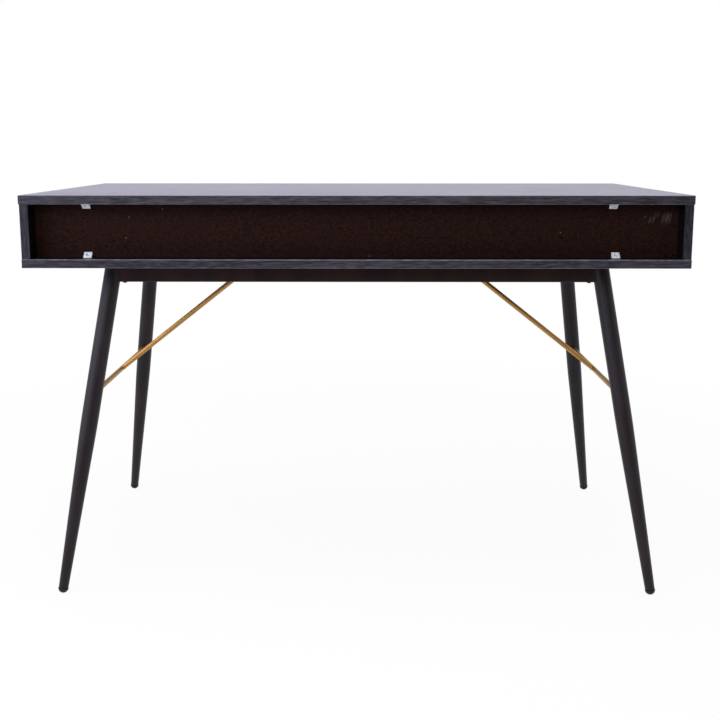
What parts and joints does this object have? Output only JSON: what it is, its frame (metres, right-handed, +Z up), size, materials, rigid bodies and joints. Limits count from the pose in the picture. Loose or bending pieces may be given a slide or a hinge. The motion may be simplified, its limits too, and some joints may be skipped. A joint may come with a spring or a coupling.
{
  "type": "writing desk with drawers",
  "caption": "Shallow black wood-grain box desk with side-by-side drawers, sunk hardboard back, splayed tapered steel legs, steel under-frame and brass braces.",
  "frame": {"origin": "on the floor, below the middle of the desk", "axes": "+X along the width, to the right for someone sitting at the desk; +Y from the drawers to the back; +Z up"},
  "size_m": [1.2, 0.6096, 0.75],
  "materials": {
    "black_ash": "black ash laminate, fine open grain, satin",
    "hardboard": "dark brown hardboard, matte",
    "drawer_board": "plain dark laminate, matte",
    "black_steel": "black powder coat, satin",
    "black_plastic": "black moulded plastic",
    "brass": "brass plated, softly polished",
    "white_plastic": "white moulded plastic",
    "nylon": "natural white nylon",
    "beech": "fluted beech",
    "black_bolt": "black oxide",
    "zinc_casting": "zinc die casting, dull",
    "zinc_sheet": "zinc plated sheet steel",
    "screw_steel": "zinc plated steel"
  },
  "bodies": {
    "root": {"back_panel": "hardboard", "back_panel_clip_screws": "screw_steel", "back_panel_clips": "white_plastic", "bay_runner_screws": "screw_steel", "bottom_panel": "black_ash", "brace_screws": "screw_steel", "carcass_cam_bolts": "zinc_casting", "carcass_cam_locks": "zinc_casting", "centre_divider": "black_ash", "divider_dowels": "beech", "foot_caps": "black_plastic", "front_left_leg": "black_steel", "front_rail": "black_steel", "front_right_leg": "black_steel", "left_brace": "brass", "left_drawer_left_bay_runner": "zinc_sheet", "left_drawer_right_bay_runner": "zinc_sheet", "left_side_panel": "black_ash", "left_stretcher": "brass", "rail_bolts": "black_bolt", "rear_left_leg": "black_steel", "rear_rail": "black_steel", "rear_right_leg": "black_steel", "right_brace": "brass", "right_drawer_left_bay_runner": "zinc_sheet", "right_drawer_right_bay_runner": "zinc_sheet", "right_side_panel": "black_ash", "right_stretcher": "brass", "top_panel": "black_ash"},
    "left_drawer": {"left_drawer_back": "drawer_board", "left_drawer_bottom": "hardboard", "left_drawer_cam_bolts": "zinc_casting", "left_drawer_cam_locks": "zinc_casting", "left_drawer_front": "black_ash", "left_drawer_left_runner": "zinc_sheet", "left_drawer_left_side": "drawer_board", "left_drawer_right_runner": "zinc_sheet", "left_drawer_right_side": "drawer_board", "left_drawer_runner_screws": "screw_steel"},
    "right_drawer": {"right_drawer_back": "drawer_board", "right_drawer_bottom": "hardboard", "right_drawer_cam_bolts": "zinc_casting", "right_drawer_cam_locks": "zinc_casting", "right_drawer_front": "black_ash", "right_drawer_left_runner": "zinc_sheet", "right_drawer_left_side": "drawer_board", "right_drawer_right_runner": "zinc_sheet", "right_drawer_right_side": "drawer_board", "right_drawer_runner_screws": "screw_steel"},
    "left_drawer_front_rollers": {"left_drawer_front_rollers": "nylon"},
    "left_drawer_rear_rollers": {"left_drawer_rear_rollers": "nylon"},
    "right_drawer_front_rollers": {"right_drawer_front_rollers": "nylon"},
    "right_drawer_rear_rollers": {"right_drawer_rear_rollers": "nylon"}
  },
  "joints": [
    {"name": "left_drawer_slide", "type": "slide", "parent": "root", "child": "left_drawer", "axis": [0, -1, 0], "range_m": [0, 0.34]},
    {"name": "left_drawer_front_roller_turn", "type": "hinge", "parent": "root", "child": "left_drawer_front_rollers", "pos_m": [-0.29525, -0.267, 0.6497], "axis": [1, 0, 0], "range_deg": [0, 2165.5]},
    {"name": "left_drawer_rear_roller_turn", "type": "hinge", "parent": "left_drawer", "child": "left_drawer_rear_rollers", "pos_m": [-0.29525, 0.151, 0.6493], "axis": [1, 0, 0], "range_deg": [0, 2165.5]},
    {"name": "right_drawer_slide", "type": "slide", "parent": "root", "child": "right_drawer", "axis": [0, -1, 0], "range_m": [0, 0.34]},
    {"name": "right_drawer_front_roller_turn", "type": "hinge", "parent": "root", "child": "right_drawer_front_rollers", "pos_m": [0.29525, -0.267, 0.6497], "axis": [1, 0, 0], "range_deg": [0, 2165.5]},
    {"name": "right_drawer_rear_roller_turn", "type": "hinge", "parent": "right_drawer", "child": "right_drawer_rear_rollers", "pos_m": [0.29525, 0.151, 0.6493], "axis": [1, 0, 0], "range_deg": [0, 2165.5]}
  ],
  "couplings": [
    {"joint": "left_drawer_front_roller_turn", "follows": "left_drawer_slide", "rad_per_m": 111.11},
    {"joint": "left_drawer_rear_roller_turn", "follows": "left_drawer_slide", "rad_per_m": 111.11},
    {"joint": "right_drawer_front_roller_turn", "follows": "right_drawer_slide", "rad_per_m": 111.11},
    {"joint": "right_drawer_rear_roller_turn", "follows": "right_drawer_slide", "rad_per_m": 111.11}
  ]
}
